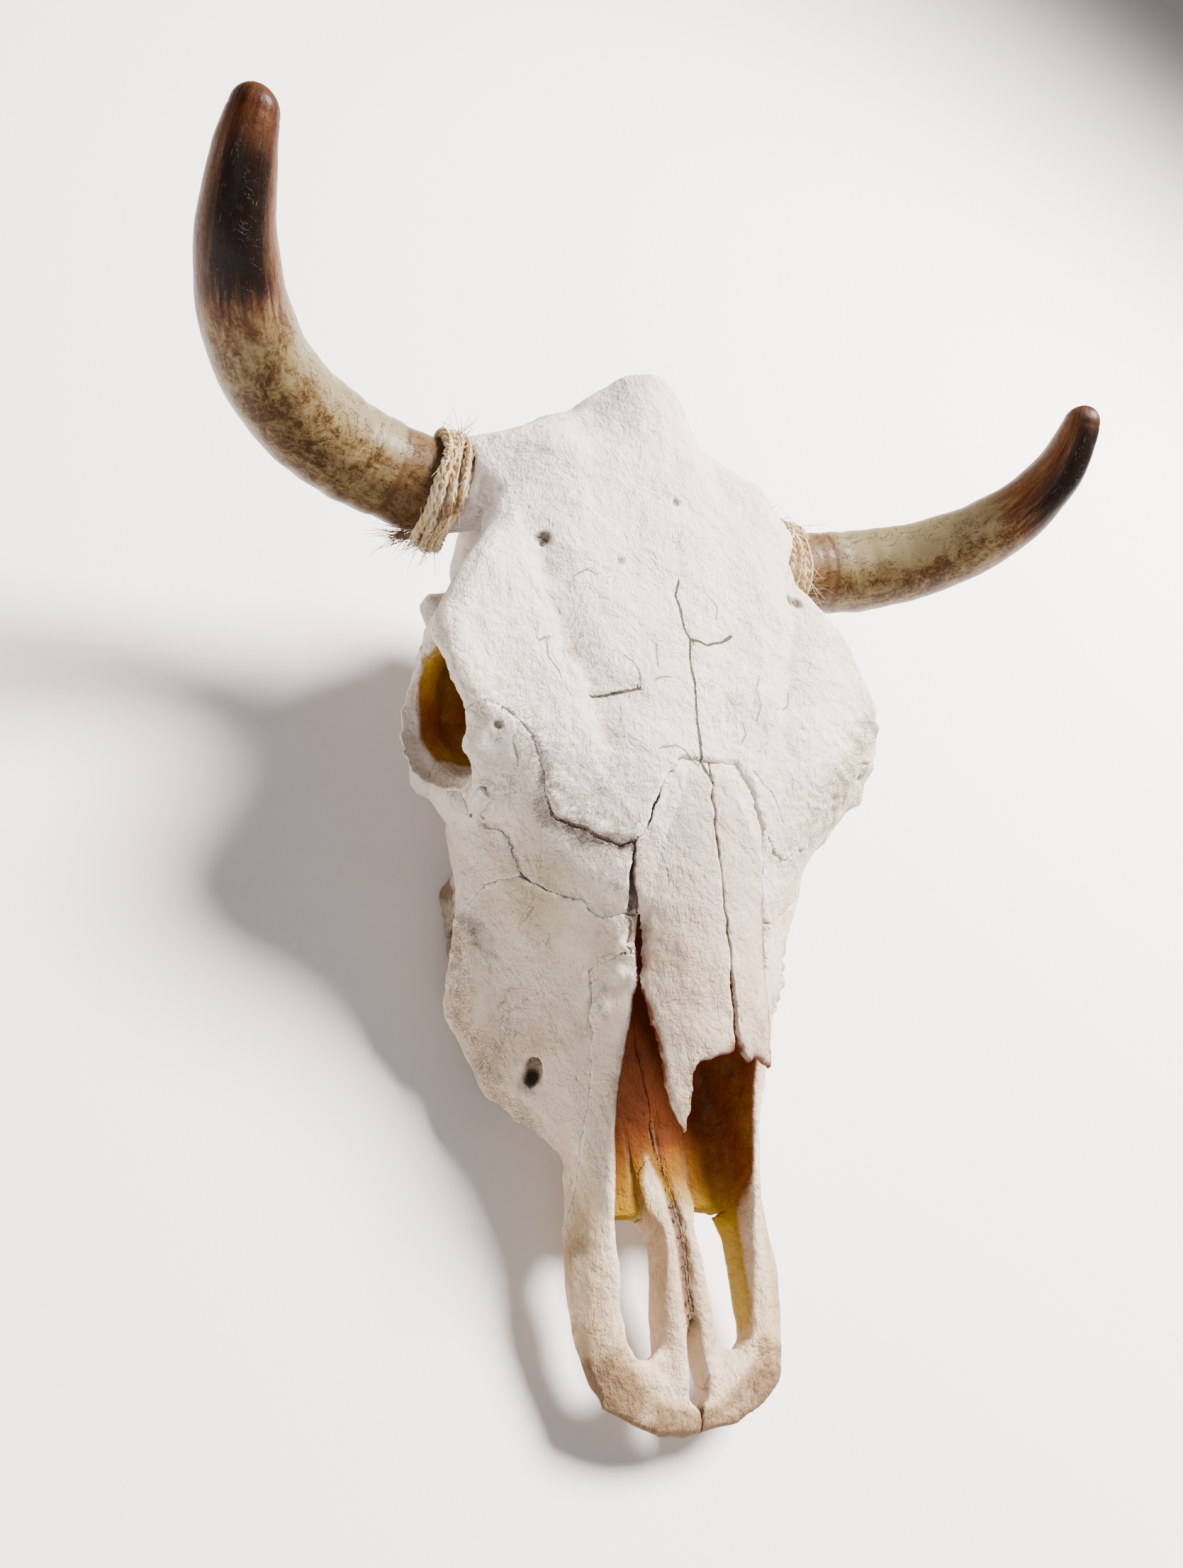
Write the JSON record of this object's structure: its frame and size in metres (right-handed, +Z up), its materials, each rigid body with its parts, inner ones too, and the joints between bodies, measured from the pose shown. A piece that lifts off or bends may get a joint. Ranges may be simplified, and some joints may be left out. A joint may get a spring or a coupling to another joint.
{
  "type": "cow skull",
  "caption": "Life-size cow skull without the lower jaw, with curved horn sheaths and rope wraps at the horn bases, resting on its cheek teeth.",
  "frame": {"origin": "centre of the footprint, on the floor that the cheek teeth and the jugular processes stand on", "axes": "+Z up, the muzzle points to -Y, the poll to +Y, and +X is the animal's left"},
  "size_m": [0.4822, 0.4674, 0.2862],
  "materials": {
    "bone": "matt, chalky",
    "horn": "polished horn, cream at the base, near black before a red-brown tip",
    "rope": "natural straw rope, frayed"
  },
  "bodies": {
    "root": {"frontal_left": "bone", "frontal_right": "bone", "nasal_left": "bone", "nasal_right": "bone", "lacrimal_left": "bone", "lacrimal_right": "bone", "zygomatic_left": "bone", "zygomatic_right": "bone", "premaxilla_left": "bone", "premaxilla_right": "bone", "maxilla_left": "bone", "maxilla_right": "bone", "temporal_left": "bone", "temporal_right": "bone", "occipital": "bone", "skull_base": "bone", "horn_sheath_left": "horn", "rope_wrap_left": "rope", "horn_sheath_right": "horn", "rope_wrap_right": "rope"}
  },
  "joints": []
}
